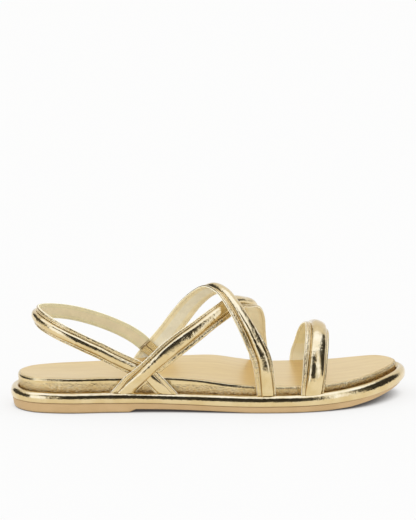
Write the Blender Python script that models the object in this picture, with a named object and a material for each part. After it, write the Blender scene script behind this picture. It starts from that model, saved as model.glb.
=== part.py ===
"""Strappy slingback sandal for the right foot, with a padded rim and puffed foil straps.

Frame: +X runs from heel to toe, +Y to the inner (medial) side of the foot, +Z up.
The floor is z = 0 and the origin is at the middle of the sole's outer rim, on the floor.
All tables are in millimetres from the back of the heel; MM turns them into metres.
"""
import math

import bmesh
import bpy
import numpy as np

MM = 0.001

# Clearance between two pieces that touch.
GAP = 0.3

# How finely the forms are divided.
LENGTH_STEPS = 36
ACROSS_STEPS = 5
STRAP_STEP = 5.5
DENSE_SAMPLES = 4000
END_CROWDING = 0.55
WRAP = 3
SHARP_ANGLE = 40.0

# The insole board lies on the footbed, flush with its wall.
INSOLE_THICKNESS = 0.9
INSOLE_EDGE_ROUND = 0.3
HEEL_CUP_DEPTH = 0.9
HEEL_CUP_X = 45.0
HEEL_CUP_REACH = 40.0

# The heel pad ends in a slanted step up to the waist.
BREAST_BACK = 73.0
BREAST_FRONT = 77.0

# The outsole stands in from the rim, at its upper edge and again at its foot.
OUTSOLE_EDGE_INSET = 0.9
OUTSOLE_FOOT_INSET = 1.8
OUTSOLE_EDGE_ROUND = 0.7

# Across the rim: out from the footbed's wall and up from the outsole, as shares of the
# rim's outset and height.
RIM_SECTION_COLUMNS = ("out", "up")
RIM_SECTION = (
    (0.00, 0.00),
    (0.62, 0.00),
    (0.86, 0.13),
    (0.98, 0.34),
    (1.00, 0.54),
    (0.95, 0.74),
    (0.80, 0.91),
    (0.55, 1.00),
    (0.25, 0.97),
    (0.00, 0.84),
)

# A strap's socket in the rim is open this far towards the footbed.
SOCKET_MOUTH = 1.6

# Straps lie on the foot: below WALL_TOP they hug the footbed, above ARCH_TOP they
# face away from the middle of the foot.
WALL_TOP = 20.0
ARCH_TOP = 45.0
FOOT_AXIS_Z = 30.0
FORWARD_LEAN = 0.3

# Outline of the footbed from above, clockwise from the back of the heel:
# x and y along the outer side to the toe, and back along the inner side.
OUTER_SIDE = (
    (3.4, 0.0),
    (5.0, -10.8),
    (11.8, -20.4),
    (28.0, -26.6),
    (60.0, -28.1),
    (100.0, -31.0),
    (130.0, -35.8),
    (160.0, -40.1),
    (185.0, -40.7),
    (208.0, -36.4),
    (226.0, -28.4),
    (240.0, -16.4),
    (249.8, -2.0),
)
INNER_SIDE = (
    (253.8, 11.5),
    (251.6, 21.0),
    (245.0, 29.8),
    (233.0, 36.8),
    (213.0, 40.6),
    (187.0, 41.4),
    (160.0, 37.6),
    (135.0, 30.8),
    (112.0, 26.6),
    (88.0, 26.3),
    (60.0, 27.5),
    (28.0, 26.6),
    (11.8, 20.4),
    (5.0, 10.8),
)

# Heights along the sole: the tread, the seam between outsole and rim, the rim's crest,
# the top of the insole at the outer and the inner edge, and how far the rim stands out.
PROFILE_COLUMNS = ("x", "tread", "seam", "crest", "outer", "inner", "proud")
PROFILE = (
    (-3.0, 0.0, 6.7, 13.2, 21.3, 21.3, 4.7),
    (20.0, 0.0, 6.7, 13.0, 22.1, 21.5, 4.9),
    (40.0, 0.0, 6.7, 12.8, 22.0, 21.6, 5.2),
    (BREAST_BACK, 0.0, 6.4, 12.2, 22.0, 22.9, 5.5),
    (BREAST_FRONT, 2.0, 6.4, 12.1, 22.0, 23.2, 5.5),
    (100.0, 1.7, 5.8, 11.4, 22.0, 24.3, 5.7),
    (118.0, 1.2, 5.2, 11.1, 20.7, 24.6, 5.8),
    (134.0, 0.6, 4.6, 10.7, 18.6, 23.7, 5.9),
    (150.0, 0.0, 4.3, 10.4, 17.2, 20.3, 6.0),
    (165.0, 0.0, 4.3, 10.4, 16.7, 17.4, 6.1),
    (182.0, 0.0, 4.4, 10.8, 16.5, 16.5, 6.2),
    (200.0, 0.3, 4.9, 12.0, 16.7, 16.5, 6.2),
    (216.0, 1.2, 5.9, 13.5, 17.7, 17.2, 6.2),
    (232.0, 3.8, 7.6, 15.6, 19.5, 19.0, 6.2),
    (246.0, 6.8, 9.8, 17.5, 21.1, 21.1, 6.2),
    (264.0, 11.0, 13.6, 18.6, 21.9, 21.8, 6.2),
)

# Each strap's route: the middle of its inner face, its width, and how high its padded
# core stands above that face.
STRAP_COLUMNS = ("x", "y", "z", "width", "rise")
INSTEP_STRAP = (
    (160.8, -41.6, 7.0, 11.4, 3.0),
    (160.4, -41.7, 11.0, 11.6, 3.4),
    (159.2, -41.8, 21.9, 12.0, 4.4),
    (157.2, -40.4, 34.0, 12.6, 5.0),
    (152.7, -36.6, 46.0, 13.0, 5.0),
    (147.4, -30.2, 57.4, 13.0, 5.0),
    (141.4, -20.6, 67.2, 13.0, 5.0),
    (136.2, -11.5, 72.2, 13.0, 5.0),
    (131.0, -1.5, 73.0, 13.4, 5.0),
    (125.4, 8.8, 69.2, 14.0, 5.0),
    (118.8, 17.0, 61.6, 14.0, 5.0),
    (111.4, 23.0, 51.0, 14.0, 5.0),
    (103.8, 27.0, 39.8, 13.6, 5.0),
    (95.6, 28.9, 30.0, 13.0, 4.8),
    (88.0, 28.6, 21.5, 12.8, 4.4),
    (83.0, 27.7, 13.5, 12.4, 3.4),
    (80.8, 27.6, 9.6, 12.0, 3.0),
)
VAMP_STRAP = (
    (61.9, -30.0, 5.0, 12.2, 3.0),
    (68.9, -30.0, 12.4, 12.6, 3.6),
    (73.8, -30.2, 18.4, 13.0, 4.4),
    (81.7, -32.0, 25.1, 13.0, 4.8),
    (87.5, -32.3, 29.9, 13.0, 5.0),
    (96.4, -31.5, 37.4, 13.0, 5.0),
    (105.6, -29.6, 44.0, 13.0, 5.0),
    (115.8, -26.6, 49.8, 13.0, 5.0),
    (126.2, -22.0, 56.2, 12.4, 5.0),
    (134.6, -17.8, 61.9, 12.0, 5.8),
    (142.0, -11.0, 65.3, 12.0, 5.8),
    (149.8, -1.0, 63.4, 13.0, 5.0),
    (156.8, 10.0, 59.3, 13.0, 5.0),
    (160.5, 19.5, 51.4, 13.0, 5.0),
    (162.9, 30.4, 38.0, 13.0, 5.0),
    (165.6, 38.4, 24.0, 13.0, 4.4),
    (167.4, 40.0, 13.0, 12.6, 3.6),
    (167.8, 40.2, 6.6, 12.0, 3.0),
)
HEEL_SLING = (
    (106.6, -32.9, 5.0, 10.8, 2.8),
    (99.2, -32.2, 12.4, 10.8, 3.2),
    (92.2, -31.7, 18.8, 11.0, 3.8),
    (86.6, -30.3, 23.2, 11.2, 4.0),
    (79.8, -29.2, 27.8, 11.2, 4.0),
    (70.2, -29.5, 32.7, 11.2, 4.0),
    (62.0, -29.8, 37.0, 11.2, 4.0),
    (54.4, -29.3, 41.2, 11.2, 4.0),
    (46.2, -28.4, 45.0, 11.2, 4.0),
    (38.7, -26.9, 48.4, 11.2, 4.0),
    (30.6, -23.7, 52.0, 11.2, 4.0),
    (24.2, -19.4, 55.0, 11.2, 4.0),
    (20.0, -14.0, 57.0, 11.2, 4.0),
    (17.4, -7.0, 58.4, 11.0, 4.0),
    (16.6, 0.0, 59.0, 10.8, 4.0),
    (17.4, 7.5, 58.9, 10.4, 4.0),
    (20.6, 15.0, 58.4, 10.0, 4.0),
    (26.5, 21.0, 57.4, 9.8, 4.0),
    (33.5, 24.7, 56.2, 9.6, 4.0),
    (43.0, 28.0, 53.9, 9.6, 4.0),
    (53.0, 29.6, 50.8, 9.6, 4.0),
    (62.8, 30.0, 47.2, 9.6, 4.0),
    (72.7, 29.2, 42.9, 9.6, 3.6),
    (80.0, 27.8, 39.0, 9.6, 2.8),
    (85.2, 26.6, 35.4, 9.4, 2.2),
    (88.8, 26.0, 32.1, 9.2, 2.0),
)
TOE_STRAP = (
    (189.6, -42.5, 7.0, 13.8, 3.0),
    (189.7, -42.6, 11.0, 14.6, 3.6),
    (190.4, -42.7, 20.0, 15.7, 4.8),
    (192.0, -40.8, 30.0, 16.0, 5.2),
    (193.6, -36.4, 38.4, 16.0, 5.2),
    (195.2, -27.0, 44.8, 16.0, 5.2),
    (196.8, -15.0, 47.4, 16.0, 5.2),
    (198.0, 0.0, 45.6, 16.0, 5.2),
    (198.2, 14.0, 41.6, 16.0, 5.2),
    (198.2, 26.0, 35.8, 16.0, 5.2),
    (197.2, 35.6, 28.5, 15.7, 5.0),
    (195.6, 41.8, 20.0, 15.4, 4.6),
    (194.6, 42.6, 11.4, 14.6, 3.6),
    (194.2, 42.6, 6.8, 13.8, 3.0),
)
FLANGE_THICKNESS = 1.6
CORE_SHARE = 0.60
CORE_STEPS = 5

# The slanting outer ends of the vamp strap and the sling are cut level above the outsole.
TRIM_LOW = (40.0, -60.0, -10.0)
TRIM_HIGH = (125.0, 0.0, 6.9)

# The elastic tab bridges from the sling's inner end to the lining of the instep strap.
ELASTIC_THICKNESS = 1.2
ELASTIC_TAB = (
    (89.3, 26.2, 31.6, 8.4, ELASTIC_THICKNESS),
    (93.4, 26.7, 27.9, 8.4, ELASTIC_THICKNESS),
    (97.0, 27.0, 24.7, 8.4, ELASTIC_THICKNESS),
)
SLING_LEAN = 0.16
SLING_TURN_X = 42.0

# Finishes, as linear RGB.
FOIL_GOLD = (0.72, 0.52, 0.24)
INSOLE_GOLD = (0.66, 0.50, 0.27)
OUTSOLE_TAN = (0.55, 0.36, 0.18)
ELASTIC_BRONZE = (0.42, 0.28, 0.10)


def table(rows, columns):
    """The columns of a table, by name."""
    return dict(zip(columns, np.array(rows, dtype=float).T))


def smooth(knots, values, at):
    """A smooth curve through values at knots; each knot's slope blends its neighbours'."""
    knots = np.asarray(knots, dtype=float)
    values = np.asarray(values, dtype=float)
    at = np.clip(np.asarray(at, dtype=float), knots[0], knots[-1])
    step = np.diff(knots)
    run = np.diff(values) / step
    middle = (run[:-1] * step[1:] + run[1:] * step[:-1]) / (step[:-1] + step[1:])
    slope = np.concatenate(([run[0]], middle, [run[-1]]))
    cell = np.clip(np.searchsorted(knots, at, side="right") - 1, 0, len(step) - 1)
    h = step[cell]
    t = (at - knots[cell]) / h
    from_start = (2 * t**3 - 3 * t**2 + 1) * values[cell] + (t**3 - 2 * t**2 + t) * h * slope[cell]
    to_end = (3 * t**2 - 2 * t**3) * values[cell + 1] + (t**3 - t**2) * h * slope[cell + 1]
    return from_start + to_end


def chord_lengths(points):
    """Distance along a chain of points, from its first."""
    steps = np.linalg.norm(np.diff(points, axis=0), axis=1)
    return np.concatenate(([0.0], np.cumsum(steps)))


def smooth_path(points, at, along):
    """Points on the smooth curve through a chain, at distances along it."""
    return np.column_stack([smooth(along, column, at) for column in np.transpose(points)])


def closed_curve(points, count):
    """A smooth closed curve through points, as count samples from the first point."""
    lap = len(points)
    wrapped = np.array([points[i % lap] for i in range(-WRAP, lap + WRAP + 1)], dtype=float)
    along = chord_lengths(wrapped)
    at = np.linspace(along[WRAP], along[WRAP + lap], count, endpoint=False)
    return smooth_path(wrapped, at, along)


def sole_stations():
    """The footbed's outline as x stations from heel to toe, with its outer and inner y."""
    dense = closed_curve(OUTER_SIDE + INNER_SIDE, DENSE_SAMPLES)
    loop = np.roll(dense, -int(np.argmin(dense[:, 0])), axis=0)
    toe = int(np.argmax(loop[:, 0]))
    outer = loop[: toe + 1]
    inner = np.vstack((loop[toe:], loop[:1]))[::-1]
    even = np.linspace(0.0, 1.0, LENGTH_STEPS + 1)
    crowded_ends = (1.0 - np.cos(math.pi * even)) / 2.0
    share = END_CROWDING * crowded_ends + (1.0 - END_CROWDING) * even
    x = loop[0, 0] + share * (loop[toe, 0] - loop[0, 0])
    breast = int(np.argmin(abs(x - BREAST_BACK)))
    x[breast : breast + 2] = (BREAST_BACK, BREAST_FRONT)
    return x, np.interp(x, outer[:, 0], outer[:, 1]), np.interp(x, inner[:, 0], inner[:, 1])


STATION_X, OUTER_Y, INNER_Y = sole_stations()
HEIGHTS = table(PROFILE, PROFILE_COLUMNS)


def profile(name, x):
    """One column of the sole's profile as a smooth function of x."""
    return smooth(HEIGHTS["x"], HEIGHTS[name], x)


def outline_ring():
    """The outline as one closed ring of points, with the outward normal at each."""
    outer = np.column_stack((STATION_X, OUTER_Y))
    inner = np.column_stack((STATION_X, INNER_Y))[-2:0:-1]
    ring = np.vstack((outer, inner))
    along = np.roll(ring, -1, axis=0) - np.roll(ring, 1, axis=0)
    normal = np.column_stack((along[:, 1], -along[:, 0]))
    return ring, normal / np.linalg.norm(normal, axis=1)[:, None]


RING, RING_NORMAL = outline_ring()


def offset_ring(outset):
    """The outline moved outwards, by one distance or by one for each of its points."""
    return RING + RING_NORMAL * np.broadcast_to(outset, len(RING))[:, None]


RIM_OUTSET = profile("proud", RING[:, 0])
RIM_OUTER = offset_ring(RIM_OUTSET)
ORIGIN = np.append((RIM_OUTER.min(axis=0) + RIM_OUTER.max(axis=0)) / 2.0, 0.0)


def tread_height(x, y):
    """Underside of the outsole: flat heel pad, slanted breast, low arch, flat ball, toe spring."""
    return float(np.interp(x, HEIGHTS["x"], HEIGHTS["tread"]))


def seam_height(x, y):
    """Top of the outsole, where the rim and the footbed sit on it."""
    return float(profile("seam", x))


def top_height(x, y):
    """Top of the insole: from one edge's height to the other's, with a shallow heel cup."""
    outer_y = np.interp(x, STATION_X, OUTER_Y)
    inner_y = np.interp(x, STATION_X, INNER_Y)
    across = float(np.clip((y - outer_y) / max(inner_y - outer_y, 1.0), 0.0, 1.0))
    blend = across * across * (3.0 - 2.0 * across)
    edge = float(profile("outer", x)) * (1.0 - blend) + float(profile("inner", x)) * blend
    along = max(0.0, 1.0 - ((x - HEEL_CUP_X) / HEEL_CUP_REACH) ** 2)
    return edge - HEEL_CUP_DEPTH * along * 4.0 * across * (1.0 - across)


def above(height, rise):
    """A height function raised by a distance."""
    return lambda x, y: height(x, y) + rise


def make_object(name, verts, faces, collection):
    """A closed mesh object, in metres about the origin."""
    mesh = bpy.data.meshes.new(name)
    placed = (np.asarray(verts, dtype=float) - ORIGIN) * MM
    mesh.from_pydata(placed.tolist(), [], faces)
    shape = bmesh.new()
    shape.from_mesh(mesh)
    bmesh.ops.triangulate(shape, faces=shape.faces[:])
    bmesh.ops.recalc_face_normals(shape, faces=shape.faces[:])
    shape.to_mesh(mesh)
    shape.free()
    mesh.shade_smooth()
    mesh.set_sharp_from_angle(angle=math.radians(SHARP_ANGLE))
    item = bpy.data.objects.new(name, mesh)
    collection.objects.link(item)
    return item


def finish(item, colour, roughness, metallic):
    """Give an object its own Principled material."""
    material = bpy.data.materials.new(item.name)
    material.use_nodes = True
    shader = material.node_tree.nodes["Principled BSDF"]
    shader.inputs["Base Color"].default_value = (*colour, 1.0)
    shader.inputs["Roughness"].default_value = roughness
    shader.inputs["Metallic"].default_value = metallic
    item.data.materials.append(material)


def lattice(verts, ring, height):
    """Rows of points across a ring, one row for each station; the two ends are one point."""
    rows = []
    for j in range(LENGTH_STEPS + 1):
        steps = 0 if j in (0, LENGTH_STEPS) else ACROSS_STEPS
        row = []
        for k in range(steps + 1):
            share = k / max(steps, 1)
            x, y = ring[j] * (1.0 - share) + ring[-j] * share
            row.append(len(verts))
            verts.append((x, y, height(x, y)))
        rows.append(row)
    return rows


def lattice_faces(rows):
    """Faces between each row of a lattice and the next."""
    faces = []
    for a, b in zip(rows, rows[1:]):
        if len(a) == 1:
            faces += [(a[0], b[k], b[k + 1]) for k in range(len(b) - 1)]
        elif len(b) == 1:
            faces += [(a[k + 1], a[k], b[0]) for k in range(len(a) - 1)]
        else:
            faces += [(a[k], b[k], b[k + 1], a[k + 1]) for k in range(len(a) - 1)]
    return faces


def rim_of(rows):
    """The edge of a lattice as one closed ring of points."""
    return [row[0] for row in rows] + [row[-1] for row in rows[-2:0:-1]]


def layer(name, levels, collection):
    """A sole layer: rings from its underside to its top, the first and last filled."""
    verts = []
    bottom = lattice(verts, *levels[0])
    rings = [rim_of(bottom)]
    for ring, height in levels[1:-1]:
        rings.append(list(range(len(verts), len(verts) + len(ring))))
        verts += [(x, y, height(x, y)) for x, y in ring]
    top = lattice(verts, *levels[-1])
    rings.append(rim_of(top))
    faces = lattice_faces(bottom) + lattice_faces(top)
    for low, high in zip(rings, rings[1:]):
        for i in range(len(low)):
            n = (i + 1) % len(low)
            faces.append((low[i], low[n], high[n], high[i]))
    return make_object(name, verts, faces, collection)


def rim(name, collection):
    """The padded rim: a puffed section carried round the footbed."""
    section = table(RIM_SECTION, RIM_SECTION_COLUMNS)
    rounds = len(section["out"])
    verts = []
    for i in range(len(RING)):
        for out, up in zip(section["out"], section["up"]):
            x, y = RING[i] + RING_NORMAL[i] * (GAP + out * (RIM_OUTSET[i] - GAP))
            low = profile("seam", x) + GAP
            verts.append((x, y, float(low + up * (profile("crest", x) - low))))
    faces = []
    for i in range(len(RING)):
        n = (i + 1) % len(RING)
        for k in range(rounds):
            m = (k + 1) % rounds
            faces.append((i * rounds + k, n * rounds + k, n * rounds + m, i * rounds + m))
    return make_object(name, verts, faces, collection)


def facing_foot(point):
    """Outward direction of a strap over the foot: off the footbed's wall, then off its arch."""
    near = int(np.argmin(np.linalg.norm(RING - point[:2], axis=1)))
    wall = np.append(RING_NORMAL[near], 0.0)
    height = max(point[2] - FOOT_AXIS_Z, 0.0)
    arch = np.array((FORWARD_LEAN * height, point[1], height))
    arch /= np.linalg.norm(arch)
    blend = np.clip((point[2] - WALL_TOP) / (ARCH_TOP - WALL_TOP), 0.0, 1.0)
    return wall * (1.0 - blend) + arch * blend


def facing_heel(point):
    """Outward direction of the sling: away from the heel's middle line, leaning back a little."""
    away = np.array((min(point[0] - SLING_TURN_X, 0.0), point[1], 0.0))
    away /= np.linalg.norm(away)
    lean = SLING_LEAN * np.clip((point[2] - WALL_TOP) / (ARCH_TOP - WALL_TOP), 0.0, 1.0)
    return away + np.array((0.0, 0.0, lean))


def strap_section(width, rise, flange, slack, inward):
    """Outline across a strap: flat inner face, two flanges and a puffed core between them."""
    half = width / 2.0 + slack
    core = width * CORE_SHARE / 2.0 + slack
    outline = [(-half, -inward), (half, -inward), (half, flange + slack)]
    for k in range(CORE_STEPS + 1):
        angle = math.pi * k / CORE_STEPS
        outline.append((core * math.cos(angle), flange + slack + (rise - flange) * math.sin(angle)))
    outline.append((-half, flange + slack))
    return outline


def strap(name, rows, facing, collection, flange=FLANGE_THICKNESS, slack=0.0, inward=0.0):
    """A strap along its route; slack and inward make the larger shape that cuts its socket."""
    columns = table(rows, STRAP_COLUMNS)
    route = np.column_stack((columns["x"], columns["y"], columns["z"]))
    along = chord_lengths(route)
    at = np.linspace(0.0, along[-1], max(2, round(along[-1] / STRAP_STEP)) + 1)
    middle = smooth_path(route, at, along)
    width = smooth(along, columns["width"], at)
    rise = smooth(along, columns["rise"], at)
    tangent = np.gradient(middle, axis=0)
    tangent /= np.linalg.norm(tangent, axis=1)[:, None]
    middle[0] -= tangent[0] * slack
    middle[-1] += tangent[-1] * slack
    verts = []
    for i, point in enumerate(middle):
        out = facing(point)
        out -= tangent[i] * np.dot(out, tangent[i])
        out /= np.linalg.norm(out)
        across = np.cross(out, tangent[i])
        for u, v in strap_section(width[i], rise[i], flange, slack, inward):
            verts.append(point + across * u + out * v)
    rounds = len(verts) // len(middle)
    faces = [tuple(range(rounds)), tuple(range(len(verts) - rounds, len(verts)))[::-1]]
    for i in range(len(middle) - 1):
        for k in range(rounds):
            m = (k + 1) % rounds
            faces.append((i * rounds + k, i * rounds + m, (i + 1) * rounds + m, (i + 1) * rounds + k))
    return make_object(name, verts, faces, collection)


def block(name, low, high, collection):
    """A plain block between two corners."""
    corners = [(x, y, z) for x in (low[0], high[0]) for y in (low[1], high[1]) for z in (low[2], high[2])]
    sides = [(0, 1, 3, 2), (4, 6, 7, 5), (0, 4, 5, 1), (2, 3, 7, 6), (0, 2, 6, 4), (1, 5, 7, 3)]
    return make_object(name, corners, sides, collection)


def boolean(item, tool, operation):
    """Join a hidden shape to an object, or cut the object with it."""
    modifier = item.modifiers.new(tool.name, "BOOLEAN")
    modifier.operation = operation
    modifier.solver = "EXACT"
    modifier.object = tool
    tool.hide_render = True
    tool.display_type = "WIRE"


def new_collection(name):
    """An empty collection in the scene."""
    collection = bpy.data.collections.new(name)
    bpy.context.scene.collection.children.link(collection)
    return collection


def build():
    """Make every piece of the sandal."""
    for item in list(bpy.data.objects):
        bpy.data.objects.remove(item)
    parts = new_collection("strappy_slingback_sandal")
    tools = new_collection("cutters")

    foot = offset_ring(RIM_OUTSET - OUTSOLE_FOOT_INSET)
    sole_under = offset_ring(RIM_OUTSET - OUTSOLE_FOOT_INSET - OUTSOLE_EDGE_ROUND)
    sole_edge = offset_ring(RIM_OUTSET - OUTSOLE_EDGE_INSET)
    outsole = layer(
        "outsole",
        (
            (sole_under, tread_height),
            (foot, above(tread_height, OUTSOLE_EDGE_ROUND)),
            (sole_edge, seam_height),
        ),
        parts,
    )
    finish(outsole, OUTSOLE_TAN, 0.55, 0.0)

    footbed = layer(
        "footbed",
        (
            (RING, above(seam_height, GAP)),
            (RING, above(top_height, -INSOLE_THICKNESS - GAP)),
        ),
        parts,
    )
    finish(footbed, FOIL_GOLD, 0.38, 1.0)

    insole = layer(
        "insole",
        (
            (offset_ring(-INSOLE_EDGE_ROUND), above(top_height, -INSOLE_THICKNESS)),
            (RING, above(top_height, -INSOLE_EDGE_ROUND)),
            (offset_ring(-INSOLE_EDGE_ROUND), top_height),
        ),
        parts,
    )
    finish(insole, INSOLE_GOLD, 0.42, 1.0)

    padded_rim = rim("padded_rim", parts)
    finish(padded_rim, FOIL_GOLD, 0.22, 1.0)

    upper = strap("instep_and_sling_straps", INSTEP_STRAP, facing_foot, parts)
    finish(upper, FOIL_GOLD, 0.22, 1.0)
    boolean(upper, strap("vamp_strap", VAMP_STRAP, facing_foot, tools), "UNION")
    boolean(upper, strap("heel_sling", HEEL_SLING, facing_heel, tools), "UNION")
    boolean(upper, block("strap_trim", TRIM_LOW, TRIM_HIGH, tools), "DIFFERENCE")

    toe_strap = strap("toe_strap", TOE_STRAP, facing_foot, parts)
    finish(toe_strap, FOIL_GOLD, 0.22, 1.0)

    tab = strap("sling_elastic", ELASTIC_TAB, facing_heel, parts, flange=ELASTIC_THICKNESS / 2.0)
    finish(tab, ELASTIC_BRONZE, 0.6, 0.0)

    sockets = (
        ("instep", INSTEP_STRAP, facing_foot),
        ("vamp", VAMP_STRAP, facing_foot),
        ("sling", HEEL_SLING, facing_heel),
        ("toe", TOE_STRAP, facing_foot),
    )
    for name, rows, facing in sockets:
        cutter = strap(name + "_sockets", rows, facing, tools, slack=GAP, inward=SOCKET_MOUTH)
        boolean(padded_rim, cutter, "DIFFERENCE")


build()
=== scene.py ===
"""Strappy slingback sandal for the right foot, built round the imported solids.

Pieces are sized in millimetres from the back of the heel, +X to the toe, +Y to the inner
side of the foot, +Z up, and are placed in the frame by laid() and stitches().
"""

import math

import bpy
import numpy as np
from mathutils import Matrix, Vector, noise


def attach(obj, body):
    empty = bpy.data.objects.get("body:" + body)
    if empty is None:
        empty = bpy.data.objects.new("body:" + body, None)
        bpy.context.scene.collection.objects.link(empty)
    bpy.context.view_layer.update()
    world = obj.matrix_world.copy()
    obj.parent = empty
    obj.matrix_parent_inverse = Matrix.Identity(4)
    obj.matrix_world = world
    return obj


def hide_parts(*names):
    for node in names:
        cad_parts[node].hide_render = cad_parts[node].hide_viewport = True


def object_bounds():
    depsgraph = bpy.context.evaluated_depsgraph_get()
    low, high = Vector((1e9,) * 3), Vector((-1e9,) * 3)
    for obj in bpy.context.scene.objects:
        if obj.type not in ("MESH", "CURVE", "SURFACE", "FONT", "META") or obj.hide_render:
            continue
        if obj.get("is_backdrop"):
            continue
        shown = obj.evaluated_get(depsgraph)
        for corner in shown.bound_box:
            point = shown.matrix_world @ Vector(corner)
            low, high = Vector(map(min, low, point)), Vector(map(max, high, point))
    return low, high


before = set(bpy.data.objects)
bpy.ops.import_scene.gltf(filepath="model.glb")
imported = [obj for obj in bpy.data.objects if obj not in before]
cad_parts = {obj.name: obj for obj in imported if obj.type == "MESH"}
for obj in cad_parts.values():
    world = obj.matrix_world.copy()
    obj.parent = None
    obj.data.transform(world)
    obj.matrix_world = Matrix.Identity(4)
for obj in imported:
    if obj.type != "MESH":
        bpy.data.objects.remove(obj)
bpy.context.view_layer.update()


# Outsole. One tan rubber moulding 4 to 7 mm thick, with a flat heel pad, a slanted step
# at the waist and a toe that springs clear of the floor. It is cemented under the rim,
# which overhangs it by a millimetre.
MM = 0.001
# The frame's origin is the middle of the rim's outline, on the floor.
FRAME_ORIGIN = np.array((129.3254, 0.3526, 0.0))
# Points round the outline, and how many spaces between them make a sheet's short sides.
OUTLINE_STEPS = 480
HALF_LAP = OUTLINE_STEPS // 2
END_COLUMNS = 36
# Points nearer than this are sewn together, and edges sharper than this are not smoothed.
SEWING_REACH = 0.01
SHARP_ANGLE = 50.0
# Plan of the footbed: down the outer side from heel to toe, and back up the inner side.
OUTLINE = (
    (3.4, 0.0), (5.0, -10.8), (11.8, -20.4), (28.0, -26.6), (60.0, -28.1),
    (100.0, -31.0), (130.0, -35.8), (160.0, -40.1), (185.0, -40.7), (208.0, -36.4),
    (226.0, -28.4), (240.0, -16.4), (249.8, -2.0), (253.8, 11.5), (251.6, 21.0),
    (245.0, 29.8), (233.0, 36.8), (213.0, 40.6), (187.0, 41.4), (160.0, 37.6),
    (135.0, 30.8), (112.0, 26.6), (88.0, 26.3), (60.0, 27.5), (28.0, 26.6),
    (11.8, 20.4), (5.0, 10.8),
)
# Along the sole at x: the heights of its tread, of the seam between outsole and rim, of the
# rim's crest and of the insole's two edges, and how far the rim stands proud of the wall.
SOLE = {
    "x": (-3, 20, 40, 73, 77, 100, 118, 134, 150, 165, 182, 200, 216, 232, 246, 264),
    "tread": (0, 0, 0, 0, 2, 1.7, 1.2, 0.6, 0, 0, 0, 0.3, 1.2, 3.8, 6.8, 11),
    "seam": (6.7, 6.7, 6.7, 6.4, 6.4, 5.8, 5.2, 4.6, 4.3, 4.3, 4.4, 4.9, 5.9, 7.6, 9.8, 13.6),
    "crest": (13.2, 13, 12.8, 12.2, 12.1, 11.4, 11.1, 10.7, 10.4, 10.4, 10.8, 12, 13.5, 15.6,
              17.5, 18.6),
    "outer": (21.3, 22.1, 22, 22, 22, 22, 20.7, 18.6, 17.2, 16.7, 16.5, 16.7, 17.7, 19.5,
              21.1, 21.9),
    "inner": (21.3, 21.5, 21.6, 22.9, 23.2, 24.3, 24.6, 23.7, 20.3, 17.4, 16.5, 16.5, 17.2,
              19, 21.1, 21.8),
    "proud": (4.7, 4.9, 5.2, 5.5, 5.5, 5.7, 5.8, 5.9, 6, 6.1, 6.2, 6.2, 6.2, 6.2, 6.2, 6.2),
}


def smooth(knots, values, at):
    """A smooth curve through values at knots; each knot's slope blends its neighbours'."""
    knots, values = np.asarray(knots, float), np.asarray(values, float)
    at = np.clip(np.asarray(at, float), knots[0], knots[-1])
    step = np.diff(knots)
    run = np.diff(values) / step
    middle = (run[:-1] * step[1:] + run[1:] * step[:-1]) / (step[:-1] + step[1:])
    slope = np.concatenate(([run[0]], middle, [run[-1]]))
    cell = np.clip(np.searchsorted(knots, at, side="right") - 1, 0, len(step) - 1)
    span = step[cell]
    t = (at - knots[cell]) / span
    start = (2 * t**3 - 3 * t**2 + 1) * values[cell] + (t**3 - 2 * t**2 + t) * span * slope[cell]
    end = (3 * t**2 - 2 * t**3) * values[cell + 1] + (t**3 - t**2) * span * slope[cell + 1]
    return start + end


def walked(points):
    """Distance walked along a chain of points."""
    return np.append(0.0, np.cumsum(np.linalg.norm(np.diff(points, axis=0), axis=1)))


def closed_curve(points, count):
    """Evenly spaced points on the smooth closed curve through a few."""
    lap = len(points)
    lead = 3
    wrapped = np.array([points[i % lap] for i in range(-lead, lap + lead + 1)], float)
    along = walked(wrapped)
    at = np.linspace(along[lead], along[lead + lap], count, endpoint=False)
    return np.column_stack([smooth(along, column, at) for column in wrapped.T])


def outward(ring):
    """The outward normal at each point of a ring seen from above."""
    along = np.roll(ring, -1, axis=0) - np.roll(ring, 1, axis=0)
    normal = np.column_stack((along[:, 1], -along[:, 0]))
    return normal / np.linalg.norm(normal, axis=1)[:, None]


RING = closed_curve(OUTLINE, OUTLINE_STEPS)
RING_NORMAL = outward(RING)


def sole(name, x):
    """One of the sole's heights, at distances x along it."""
    return smooth(SOLE["x"], SOLE[name], x)


def tread_height(x):
    """Height of the outsole's underside."""
    return np.interp(x, SOLE["x"], SOLE["tread"])


def at_height(ring, heights):
    """A ring seen from above, given its heights."""
    return np.column_stack((ring, np.broadcast_to(heights, len(ring))))


def offset(out):
    """The footbed's outline moved outwards."""
    return RING + RING_NORMAL * np.broadcast_to(out, OUTLINE_STEPS)[:, None]


def patch(ring):
    """A grid of points that fills a ring, its short sides round the heel and the toe."""
    turned = np.roll(ring, END_COLUMNS // 2, axis=0)
    heel = turned[: END_COLUMNS + 1][::-1]
    outer = turned[END_COLUMNS : HALF_LAP + 1]
    toe = turned[HALF_LAP : HALF_LAP + END_COLUMNS + 1]
    inner = np.vstack((turned[HALF_LAP + END_COLUMNS :], turned[:1]))[::-1]
    outer_to_inner = np.linspace(0, 1, END_COLUMNS + 1)[None, :, None]
    heel_to_toe = np.linspace(0, 1, HALF_LAP - END_COLUMNS + 1)[:, None, None]
    sides = outer[:, None] * (1 - outer_to_inner) + inner[:, None] * outer_to_inner
    ends = heel[None] * (1 - heel_to_toe) + toe[None] * heel_to_toe
    corners = (
        (outer[0] * (1 - outer_to_inner) + inner[0] * outer_to_inner) * (1 - heel_to_toe)
        + (outer[-1] * (1 - outer_to_inner) + inner[-1] * outer_to_inner) * heel_to_toe
    )
    return sides + ends - corners


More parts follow.
